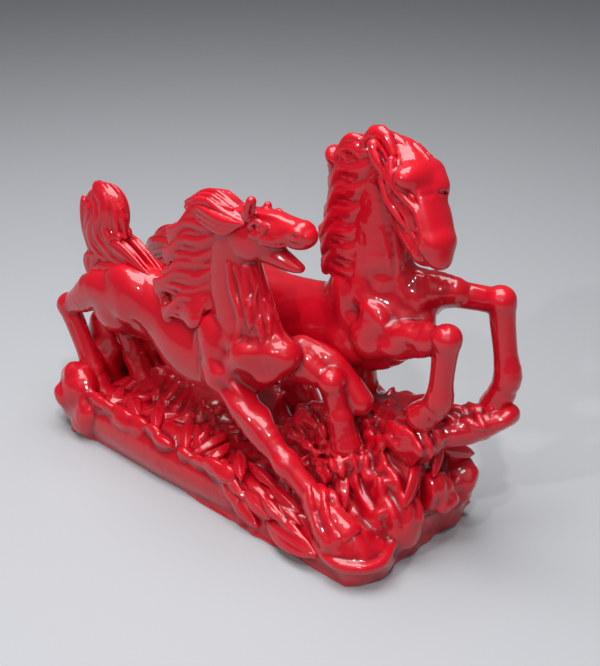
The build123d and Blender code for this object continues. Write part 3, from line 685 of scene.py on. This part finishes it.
def tress(horse, stations, count, thick, wave):
    """Strands along a run of stations (x, z, side, half width, half depth), on both faces of a core."""
    horse.run([(x, z, side, width * 0.93, depth * 0.96) for x, z, side, width, depth in stations], 1.5)
    run = smooth_run([(*horse.at(*station[:3]), *station[3:]) for station in stations], 3)
    heading = np.gradient(run[:, :3], axis=0)
    for face in (-1, 1):
        for k in range(count):
            across = (k - (count - 1) / 2) / ((count - 1) / 2)
            points = []
            for i, station in enumerate(run):
                share = i / (len(run) - 1)
                square = np.cross(unit(heading[i]), (0.0, 1.0, 0.0))
                swing = across * station[4] * 0.93 + wave * math.sin(13 * share + 0.7 * k + face)
                bulge = face * station[3] * math.sqrt(max(1 - across**2, 0.05))
                points.append(station[:3] + square * swing + np.array([0, bulge, 0]))
            strand(horse.clay, points, thick * (0.8 + 0.45 * (k % 2)), 0.6)


def near_mane():
    chance = np.random.default_rng(3)
    horse = Horse(NEAR_MIDDLE, (-50, -38, 70), (16, -2, 154), HAIR_STEP)
    horse.run([
        (-4, 136, 0, 3.4, 5), (-10, 130, -1, 3.8, 10), (-15, 122, -2, 4, 13), (-18, 112, -3, 4, 15),
        (-20, 102, -5, 3.8, 15), (-18, 95, -8, 3.8, 12), (-13, 89, -11, 2.8, 6),
    ])
    crest = [(-7, 138), (-10, 131), (-12, 123), (-13, 114), (-13, 106), (-11, 98)]
    rim = []
    for i, (x, z) in enumerate(crest):
        drop = chance.uniform(2, 7)
        reach = chance.uniform(19, 24) + (2 if i == 4 else 0)
        lift = chance.uniform(8, 15)
        for face, side in ((-1, -4.2 - 1.1 * i), (1, 2.8 - 1.1 * i)):
            lock(
                horse, (x + 12, z + 3, face * 3.5), (x - 8, z - drop + 3, side + face * 4.4),
                (x - reach, z - lift, side - 0.5 + face * 0.8), chance.uniform(1.9, 2.6), 5,
                (-0.35, 0, 1), 1.4, 0.8, 0.5,
            )
        rim.append((x - reach + 2.5, z - lift - 3, -1 - 1.1 * i, 5.0, 3.4))
    horse.run(rim, 2.0)
    return horse.clay.mesh("near_mane_locks")


def near_forelock():
    horse = Horse(NEAR_MIDDLE, (-36, -36, 118), (30, -2, 158), HAIR_STEP)
    horse.run([
        (15, 139, 0, 4, 2.5), (8, 138.5, 0, 7.2, 4.2), (-2, 139.5, 0, 8.2, 5.4), (-12, 140, 0, 7.4, 5.2),
        (-20, 139, 0, 4, 2.6),
    ])
    crown = [
        (17, 140.5, 0.2, 0.6), (9, 141.5, 0.3, 0.9), (1, 143, 0.4, 1), (-8, 146.5, 0.4, 1.1),
        (-17, 144.5, 0.3, 1), (-23, 140, 0.1, 0.8),
    ]
    for side in (-5.4, -2.7, 0.0, 2.7, 5.4):
        points = [horse.at(x, z - abs(side) * sag, side * spread) for x, z, sag, spread in crown]
        strand(horse.clay, points, 2.5, 0.6, end=0.5, start=0.3)
    temple = [
        (15, -2, 141, 1.2, 7.4), (8, -1, 140, 2.2, 8.4), (1, 0, 139.5, 2.5, 8.4),
        (-8, 0, 140.5, 2.6, 7.8), (-16, 0, 140.5, 2.4, 6.8), (-22, 2, 138, 1.8, 5.8),
    ]
    for sign in (-1, 1):
        for k in range(3):
            points = [
                horse.at(x + shift * k, z - drop * k, side * sign) for x, shift, z, drop, side in temple
            ]
            strand(horse.clay, points, 2.2, 0.5, end=0.5, start=0.3)
    return horse.clay.mesh("near_forelock_locks")


def near_tail():
    horse = Horse(NEAR_MIDDLE, (-118, -34, 62), (-46, 2, 142), HAIR_STEP)
    tress(horse, [
        (-64, 92, 0, 4, 6), (-77, 96, 0, 5.5, 10), (-84.5, 103, 0, 6.5, 15.5), (-85.5, 111, 0, 6.5, 16),
        (-83.5, 118, 0, 6, 14.5), (-84.5, 123, 0, 5, 10.5), (-88, 127, 0, 3, 5), (-90.5, 129, 0, 1.5, 2),
    ], 13, 1.7, 1.6)
    for side in (-5.5, -2.5, 2.5, 5.5):
        drapes = (
            ((-72, 95, side), (-100, 102, side), (-86, 76, side * 1.4), 1.9, 5, (1, 0, 0.2), 0.5),
            ((-66, 93, side), (-90, 97, side * 1.2), (-80, 75, side * 1.6), 1.9, 4, (1, 0, 0.2), 0.5),
            ((-50, 93, side * 0.7), (-76, 106, side), (-93, 97, side), 2.0, 5, (0, 0, 1), 0.8),
        )
        for root, bend, tip, *looks in drapes:
            lock(horse, root, bend, tip, *looks, 0.25, 0.3)
    return horse.clay.mesh("near_tail_locks")


def far_mane():
    chance = np.random.default_rng(8)
    horse = Horse(FAR_MIDDLE, (4, 0, 92), (64, 36, 184), HAIR_STEP)
    horse.run([
        (47, 170, 0, 3.4, 5), (41, 162, -1, 3.8, 9), (37, 151, -2, 4, 11), (36, 138, -3, 4, 11),
        (37, 125, -4, 3.8, 10), (38, 115, -4, 3.2, 7), (40, 109, -4, 2.4, 4),
    ])
    crest = [(45, 167), (43, 158), (41, 148), (40, 139), (40, 130), (41, 121)]
    rim = []
    for i, (x, z) in enumerate(crest):
        drop = chance.uniform(0, 4)
        reach = chance.uniform(12, 16)
        for face, side in ((-1, -4.2 - 0.4 * i), (1, 2.8 - 0.4 * i)):
            lock(
                horse, (x + 9 + 1.4 * i, z + 3, face * 4.0), (x - 5, z - drop + 3, side + face * 6.6),
                (x - reach, z - chance.uniform(6, 11), side + face * 0.8), chance.uniform(2.1, 2.9), 5,
                (-0.3, 0, 1), 1.4, 0.8, 0.5,
            )
        rim.append((x - reach + 3, z - 4, -0.8 - 0.4 * i, 5.0, 3.6))
    horse.run(rim, 2.0)
    return horse.clay.mesh("far_mane_locks")


def far_forelock():
    horse = Horse(FAR_MIDDLE, (20, 0, 130), (98, 42, 192), HAIR_STEP)
    horse.run([
        (42, 169, 0, 4, 3.6), (50, 173, 0, 5, 4), (59, 174.5, -0.5, 5, 3.2), (67, 173, -1.5, 5, 2.4),
        (73, 169, -2, 3, 2),
    ])
    lobes = [
        [(46, 173, -6), (52, 179, -6), (58, 179.5, -7), (63, 174, -8.5)],
        [(47, 174, -2), (55, 177.5, -2.5), (63, 176.5, -3), (70, 171.5, -4.5)],
        [(49, 173.5, 2), (58, 175.5, 1.5), (67, 175.5, 0), (74.5, 172, -1)],
        [(51, 172.5, 5.5), (60, 173, 5.5), (68, 171, 4.5), (74, 167.5, 3)],
    ]
    for lobe, thick in zip(lobes, (4.0, 3.3, 3.0, 2.8)):
        points = [horse.at(*spot) for spot in lobe]
        strand(horse.clay, points, thick, 1.2, flat=0.85, end=0.5, start=0.5)
    for k in range(3):
        for side in (-5, 3.5):
            place = horse.at(44 - 6.6 * k, 171 - 3.2 * k, side)
            horse.clay.oval(place, pitched(-25 - 8 * k), (4.0, 4.8, 6.2 - 0.6 * k), 1.6)
    for k in range(3):
        rim = []
        for t in range(8):
            x = 60 + 3.7 * t
            z = 168 - 3.9 * t
            side = -12.2 - 0.5 * t
            ripple = math.sin(2.1 * t + 0.8 * k)
            rim.append(horse.at(x + 2.4 * k + ripple, z + 1.6 * k + ripple, side + 0.5 * k - 0.4 * ripple))
        strand(horse.clay, rim, 1.8, 1.2, end=0.5)
    return horse.clay.mesh("far_forelock_locks")


def far_tail():
    horse = Horse(FAR_MIDDLE, (-108, 2, 60), (-8, 38, 118), HAIR_STEP)
    tress(horse, [
        (-24, 91, 0, 4, 5.5), (-38, 95, 0, 5.5, 9), (-52, 95, 0, 6, 12), (-66, 92, 0, 6, 13.5),
        (-79, 88, 0, 5.5, 12), (-90, 84, 0, 3.8, 7), (-97, 82, 0, 1.6, 2.6),
    ], 11, 1.7, 1.4)
    return horse.clay.mesh("far_tail_locks")


done(near_mane(), "near_mane")
done(near_forelock(), "near_forelock")
done(near_tail(), "near_tail")
done(far_mane(), "far_mane")
done(far_forelock(), "far_forelock")
done(far_tail(), "far_tail")


# The hill: rounded mounds, rocks pushed into them, sweeping ridges and a flat underside
MOUND_EDGE = 9.0
MOUND_ROOM = 12


def soft_cut(a, b, soft):
    """What two forms share, with a rounded edge."""
    gap = np.maximum(soft - np.abs(a - b), 0) / soft
    return np.maximum(a, b) + gap * gap * soft / 4


def mound(clay, foot, top, soft):
    """A mound with soft edges between two level rectangles, each (x from, x to, y from, y to, z)."""
    x1, x2, y1, y2, base = foot
    tx1, tx2, ty1, ty2, crest = top
    low = np.array([x1, y1, base]) - MOUND_ROOM
    spans, (x, y, z) = clay.window(low, np.array([x2, y2, crest]) + MOUND_ROOM)
    height = crest - base
    joined = z - crest
    for line, start, end, way in ((x, x1, tx1, -1), (x, x2, tx2, 1), (y, y1, ty1, -1), (y, y2, ty2, 1)):
        slope = (start - end) * way
        flank = ((line - start) * way * height + (z - base) * slope) / math.hypot(slope, height)
        joined = soft_cut(joined, flank, MOUND_EDGE)
    clay.blend_in(spans, joined, soft)


def slab(clay, corners, height, edge):
    """A level slab inside a ring of corners, taken anticlockwise."""
    spans, (x, y, z) = clay.window(clay.low, clay.low + clay.step * clay.counts)
    joined = z - height + 0 * x + 0 * y
    for (ax, ay), (bx, by) in zip(corners, corners[1:] + corners[:1]):
        length = math.hypot(bx - ax, by - ay)
        joined = soft_cut(joined, ((x - ax) * (by - ay) - (y - ay) * (bx - ax)) / length, edge)
    clay.blend_in(spans, joined, 1.0)


def ground_height(clay, x, y):
    """Height of the clay's top at a place."""
    cell = np.rint((np.array([x, y]) - clay.low[:2]) / clay.step).astype(int)
    column = clay.field[tuple(np.clip(cell, 0, clay.counts[:2] - 1))]
    filled = np.nonzero(column < 0)[0]
    if len(filled) == 0:
        return 0.0
    return clay.low[2] + clay.step * filled[-1]


def rock(clay, center, size, chance):
    """A rounded rock with six knobs in random places."""
    center = np.asarray(center, dtype=float)
    radii = np.asarray(size, dtype=float) / 2
    clay.oval(center, np.eye(3), radii * 0.96, 3.0)
    for _ in range(6):
        way = unit(chance.normal(size=3))
        turn = axes_from(chance.normal(size=3), chance.normal(size=3))
        clay.oval(center + way * radii * 0.6, turn, radii.min() * chance.uniform(0.4, 0.75, 3), 0.8)


def ridge(clay, path, size):
    """A raised line that follows the ground through (x, y) points."""
    placed = []
    for i, (x, y) in enumerate(path):
        taper = 1 - abs(2 * i / (len(path) - 1) - 1) * 0.6
        placed.append((x, y, ground_height(clay, x, y) + 0.2, size * taper))
    clay.tube(placed, 1.2)


def sprig(clay, x, y, length, width, turn, lift):
    """An oval leaf with a rib that lies on the ground, turned by some radians."""
    here = ground_height(clay, x, y)
    rise_x, rise_y = (
        np.clip((ground_height(clay, x + a, y + b) - ground_height(clay, x - a, y - b)) / 6, -1.6, 1.6)
        for a, b in ((3, 0), (0, 3))
    )
    normal = unit((-rise_x, -rise_y, 1))
    along = unit((math.cos(turn), math.sin(turn), rise_x * math.cos(turn) + rise_y * math.sin(turn)))
    center = np.array([x, y, here]) + normal * lift
    clay.oval(center, axes_from(along, np.cross(normal, along)), (length / 2, width / 2, 1.5), 0.5)
    ends = [center + along * length * share + normal * (1.3 - abs(share)) for share in (-0.42, 0, 0.42)]
    clay.tube([(*end, 0.6) for end in ends], 0.6)


def scatter(clay, chance, count, low, high, lift):
    """Random sprigs, with x, y, length, width and turn between low and high."""
    for _ in range(count):
        sprig(clay, *chance.uniform(low, high), lift)


def fade(line, start, width):
    """A share that grows from 0 to 1 over a width."""
    return np.clip((line - start) / width, 0, 1)


# The slab's corners (x, y) and the rocks' centres and full sizes
FOOTPRINT = [(-94, -37), (58, -35), (84, -34), (91, -8), (94, 41), (-94, 42)]
ROCKS = [
    ((-94, -32, 22), (26, 20, 28)), ((-99, -28, 14), (25, 24, 26)), ((-84, -35, 14), (20, 15, 22)),
    ((-100, -11, 12), (24, 22, 26)), ((-100, -11, 34), (22, 16, 50)), ((-85, 8, 30), (22, 18, 52)),
    ((-66, 14, 34), (24, 22, 44)), ((-93, 16, 14), (28, 28, 32)), ((84, 8, 52), (28, 19, 19)),
    ((-106, 0, 34), (19, 18, 44)),
    ((46, 22, 58), (13, 14, 34)), ((90, -4, 18), (19, 18, 26)), ((92, 16, 26), (19, 18, 20)),
    ((90, 35, 22), (19, 18, 26)), ((58, -3, 32), (24, 21, 23)),
    ((-50, 38, 12), (34, 18, 30)), ((-8, 39, 16), (32, 16, 38)), ((34, 39, 20), (34, 16, 46)),
]


def hill():
    chance = np.random.default_rng(5)
    clay = Clay((-120, -50, -2), (124, 56, 86), GROUND_STEP)
    slab(clay, FOOTPRINT, 12, 4.0)
    mound(clay, (-92, 60, -34, 20, 0), (-84, 18, -24, 10, 25), 4.0)
    mound(clay, (-92, 10, -30, 42, 0), (-70, -20, -6, 34, 33), 6.0)
    mound(clay, (-10, 92, -36, 42, 0), (34, 87, 11, 38, 54), 6.0)
    for center, size in ROCKS:
        rock(clay, center, size, chance)
    # The hoof shelf, the front rock's foot and slope, and the bank under the corner leaves
    clay.tube([(78, 15, 49, 10, 7), (92, 22, 55, 11, 8), (103, 29, 59.5, 10, 7), (113, 33, 65, 7, 4)], 5.0)
    clay.tube([(60, -22, 9, 9, 9), (76, -25, 8, 12, 10), (88, -21, 8, 9, 9)], 4.0)
    clay.tube([
        (58, -28.5, 31, 4.5), (68, -28.5, 24, 7.5, 7), (77, -28.5, 17, 10.5, 9.5), (84, -26, 10, 12, 10),
    ], 3.0)
    clay.tube([(14, -29, 15, 8, 9), (30, -28, 14, 8, 8), (46, -28, 12, 7, 8), (60, -27, 11, 6, 7)], 4.0)
    for k in range(8):
        for part in range(2):
            start = chance.uniform(20, 32) + 26 * part
            path = []
            for t in range(6):
                level = -24 + 4.6 * k - 1.2 * t
                path.append((min(start + 5 * t, 84), level + 2.6 * math.sin(0.9 * t + 1.7 * k)))
            ridge(clay, path, chance.uniform(1.3, 2.2))
    scatter(clay, chance, 60, (24, -24, 6, 3.2, -1.6), (84, 12, 10, 4.8, 0.6), -0.3)
    scatter(clay, chance, 46, (-78, -26, 9, 5, -2.4), (22, -4, 15, 7, -0.6), -0.2)
    for _ in range(50):
        x, y, size = chance.uniform((-84, -14, 1.6), (88, 36, 3.2))
        turn = axes_from(chance.normal(size=3), chance.normal(size=3))
        clay.oval((x, y, ground_height(clay, x, y)), turn, size * chance.uniform(0.6, 1.7, 3), 1.2)
    for _ in range(22):
        x, shift, *shape = chance.uniform((88, -9, 8, 4.5, -1.2), (110, 7, 12, 6.5, 0.9))
        sprig(clay, x, 12 + 0.82 * (x - 84) + shift, *shape, -0.2)
    _, (x, y, z) = clay.window(clay.low, clay.low + clay.step * clay.counts)
    rough = noise(clay, 11, chance) * 1.1 + (np.abs(noise(clay, 7, chance)) - 0.35) * 1.6
    away = fade(y, -34, 8) + fade(x, 18, 8) + fade(-x, 76, 6)
    sweep = np.sin((y + 0.4 * x + noise(clay, 18, chance) * 7) * (2 * math.pi / 6.5))
    grassy = fade(x, 14, 12) * fade(-y, -16, 10) * fade(z, 18, 8)
    craggy = fade(-x, 58, 12) + fade(y, 24, 8)
    rough = rough + noise(clay, 3.5, chance) * 0.5 + sweep * grassy * 0.8
    rough = rough + (noise(clay, 8, chance) * 2.4 + noise(clay, 4.5, chance) * 1.2) * np.minimum(craggy, 1)
    clay.field = clay.field + rough * np.minimum(away, 1)
    # The smooth near panel, drips along its top and the lip round the front rock
    clay.tube([(-76, -25, 11, 14, 15), (-30, -25, 10.5, 14.5, 15), (13, -24, 10, 13, 14)], 1.0, pieces=1)
    for _ in range(24):
        drip = (chance.uniform(-84, 18), -35 + chance.uniform(-1.0, 1.5), 22.5 + chance.uniform(-2.5, 2))
        clay.oval(drip, np.eye(3), chance.uniform((3.5, 2.2, 2.2), (8, 3.2, 4.2)), 2.0)
    clay.tube([
        (64, -33, 13, 2.2), (75, -37, 11.5, 2.6), (85, -37.5, 11, 2.8), (93, -32, 11, 2.8),
        (96, -24, 11.5, 2.6), (93, -14, 13, 2.2),
    ], 1.2)
    clay.field = np.maximum(clay.field, -z)
    return clay.mesh("hill_clay")


done(
    hill(), "hill", "rear_boulders", "front_rock", "hoof_shelf", "right_hoof_rock", "belly_post",
    "front_rocks", "far_rocks", paint=RIPPLED,
)


# Leaves: pointed, with a raised rib down the middle and a drooping tip
def leaf(clay, root, tip, facing, width):
    root = np.asarray(root, dtype=float)
    reach = np.asarray(tip, dtype=float) - root
    _, side, up = axes_from(reach, np.cross(np.asarray(facing, dtype=float), reach))
    length = np.linalg.norm(reach)
    stations = []
    rib = []
    for share in np.linspace(0, 1, 7):
        spot = root + reach * share + up * math.sin(math.pi * share) * length * 0.08
        half = max(width / 2 * math.sin(math.pi * min(share * 0.85 + 0.1, 1)) ** 0.7, 0.5)
        stations.append((*spot, half, max(2.1 * (1 - 0.5 * share), 0.9)))
        rib.append((*(spot + up * 1.5), 0.9 * (1.1 - share)))
    clay.tube(stations, 0.6, side=side)
    clay.tube(rib, 0.6, side=side)


def leaves(name, low, high, items):
    clay = Clay(low, high, LEAF_STEP)
    for root, tip, facing, width in items:
        leaf(clay, root, tip, facing, width)
    return clay.mesh(name)


def near_row():
    chance = np.random.default_rng(11)
    items = []
    for i in range(12):
        x = -72 + 7.6 * i
        root = (x, -20 + chance.uniform(-4, 4), 25.5 + chance.uniform(0, 2))
        tip = (x + chance.uniform(-14, 16), -32 + chance.uniform(-4, 4), 25 + chance.uniform(-3, 1))
        items.append((root, tip, (0, -0.4, 1), chance.uniform(6, 9)))
    return items


done(leaves("near_leaf_row", (-98, -50, 10), (44, -8, 44), near_row()), "near_leaves")
corner = [
    ((40, -34, 9), (71, -38.5, 9.5), (0, -1, 0.6), 12), ((11, -32, 22), (27, -37, 17), (0, -1, 0.5), 6),
    ((9, -31, 25), (19, -37, 20), (0, -1, 0.6), 6), ((22, -30, 21), (41, -33, 18), (0, -0.8, 0.8), 6),
    ((20, -25, 25), (38, -28, 23), (0, -0.5, 1), 6), ((40, -30, 18), (58, -33, 16), (0, -0.8, 0.8), 6),
    ((24, -33, 18), (43, -37, 14), (0, -1, 0.6), 7), ((34, -27, 22), (54, -30, 19), (0, -0.6, 1), 6),
    ((16, -34, 15), (36, -37.5, 6), (0, -1, 0.4), 8), ((12, -34, 19), (24, -38, 12), (0, -1, 0.5), 6),
    ((33, -32, 19), (52, -36, 15), (0, -1, 0.7), 6), ((46, -33, 14), (63, -37, 13), (0, -1, 0.6), 6),
]
done(leaves("corner_leaf_spray", (2, -52, -1), (80, -12, 40), corner), "corner_leaves")
front = [
    ((88, 6, 42), (94, -8, 31), (1, 0, 0.2), 8), ((88, 22, 47), (95, 10, 38), (1, 0, 0.2), 7),
    ((88.5, 26, 41), (95, 40, 35), (1, 0, 0.2), 7), ((60, -8, 34), (70, -18, 23), (0, -0.8, 0.6), 7),
]
done(leaves("front_leaf_spray", (50, -30, 4), (106, 50, 60), front), "front_leaves")
far_row = [
    ((x, 35, z), (x + 8, 45, z - 14), (0, 1, 0.2), 8) for x, z in ((-74, 24), (-34, 30), (12, 38), (56, 48))
]
done(leaves("far_leaf_row", (-84, 26, 4), (74, 54, 56), far_row), "far_leaves")


# The hidden pins keep their plain forms and get a drawn steel finish
def pin_steel():
    paint = Paint("pin_steel")
    place = paint.node("TexCoord", {}, "Object")
    drawn = paint.node("TexNoise", {"Scale": 900, "Detail": 3, "Vector": place}, "Fac")
    tone = paint.ramp(drawn, [(0.0, (0.35, 0.35, 0.36, 1)), (1.0, (0.62, 0.62, 0.63, 1))])
    paint.fill(paint.shader, {"Base Color": tone, "Metallic": 1.0, "Roughness": 0.35})
    return paint.material


STEEL = pin_steel()
for name in ("near_pins", "far_pins", "hoof_pins"):
    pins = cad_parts[name].data
    pins.materials.clear()
    pins.materials.append(STEEL)


# Floor, lights and camera
def studio():
    scene = bpy.context.scene
    scene.view_settings.view_transform = "Standard"
    bpy.ops.mesh.primitive_plane_add(size=6)
    floor = bpy.context.object
    floor.name = "floor"
    paper = Paint("floor_paper")
    paper.fill(paper.shader, {"Base Color": (0.42, 0.43, 0.45, 1), "Roughness": 0.8})
    floor.data.materials.append(paper.material)
    world = bpy.data.worlds.new("room")
    world.use_nodes = True
    glow = world.node_tree.nodes["Background"]
    glow.inputs["Color"].default_value = (0.86, 0.92, 1.0, 1)
    glow.inputs["Strength"].default_value = 0.12
    scene.world = world


LAMP_AIM = Vector((0, 0, 0.08))


def lamp(name, place, size, power):
    """A square panel of light that faces the ornament."""
    data = bpy.data.lights.new(name, "AREA")
    data.size = size
    data.energy = power
    light = bpy.data.objects.new(name, data)
    light.location = place
    light.rotation_mode = "QUATERNION"
    light.rotation_quaternion = (LAMP_AIM - Vector(place)).to_track_quat("-Z", "Y")
    bpy.context.scene.collection.objects.link(light)


CAMERA_TURN = math.radians(43.84)
CAMERA_RISE = math.radians(28)
CAMERA_DISTANCE = 0.5503
CAMERA_LENS = 64.86
CAMERA_SHIFT = (0.0643, 0.0123)
TARGET = Vector((0, 0, 0.072))


def camera():
    data = bpy.data.cameras.new("view")
    data.lens = CAMERA_LENS
    data.shift_x, data.shift_y = CAMERA_SHIFT
    eye = bpy.data.objects.new("view", data)
    back = Vector((
        math.sin(CAMERA_TURN) * math.cos(CAMERA_RISE), -math.cos(CAMERA_TURN) * math.cos(CAMERA_RISE),
        math.sin(CAMERA_RISE),
    ))
    eye.location = TARGET + back * CAMERA_DISTANCE
    eye.rotation_mode = "QUATERNION"
    eye.rotation_quaternion = back.to_track_quat("Z", "Y")
    bpy.context.scene.collection.objects.link(eye)
    bpy.context.scene.camera = eye


studio()
lamp("overhead", (-0.05, -0.05, 0.80), 0.62, 8.0)
lamp("glint_right", (0.35, -0.35, 0.75), 0.03, 1.6)
lamp("glint_left", (0.10, -0.65, 0.60), 0.03, 1.4)
lamp("glint_low", (0.42, -0.38, 0.40), 0.02, 0.3)
camera()
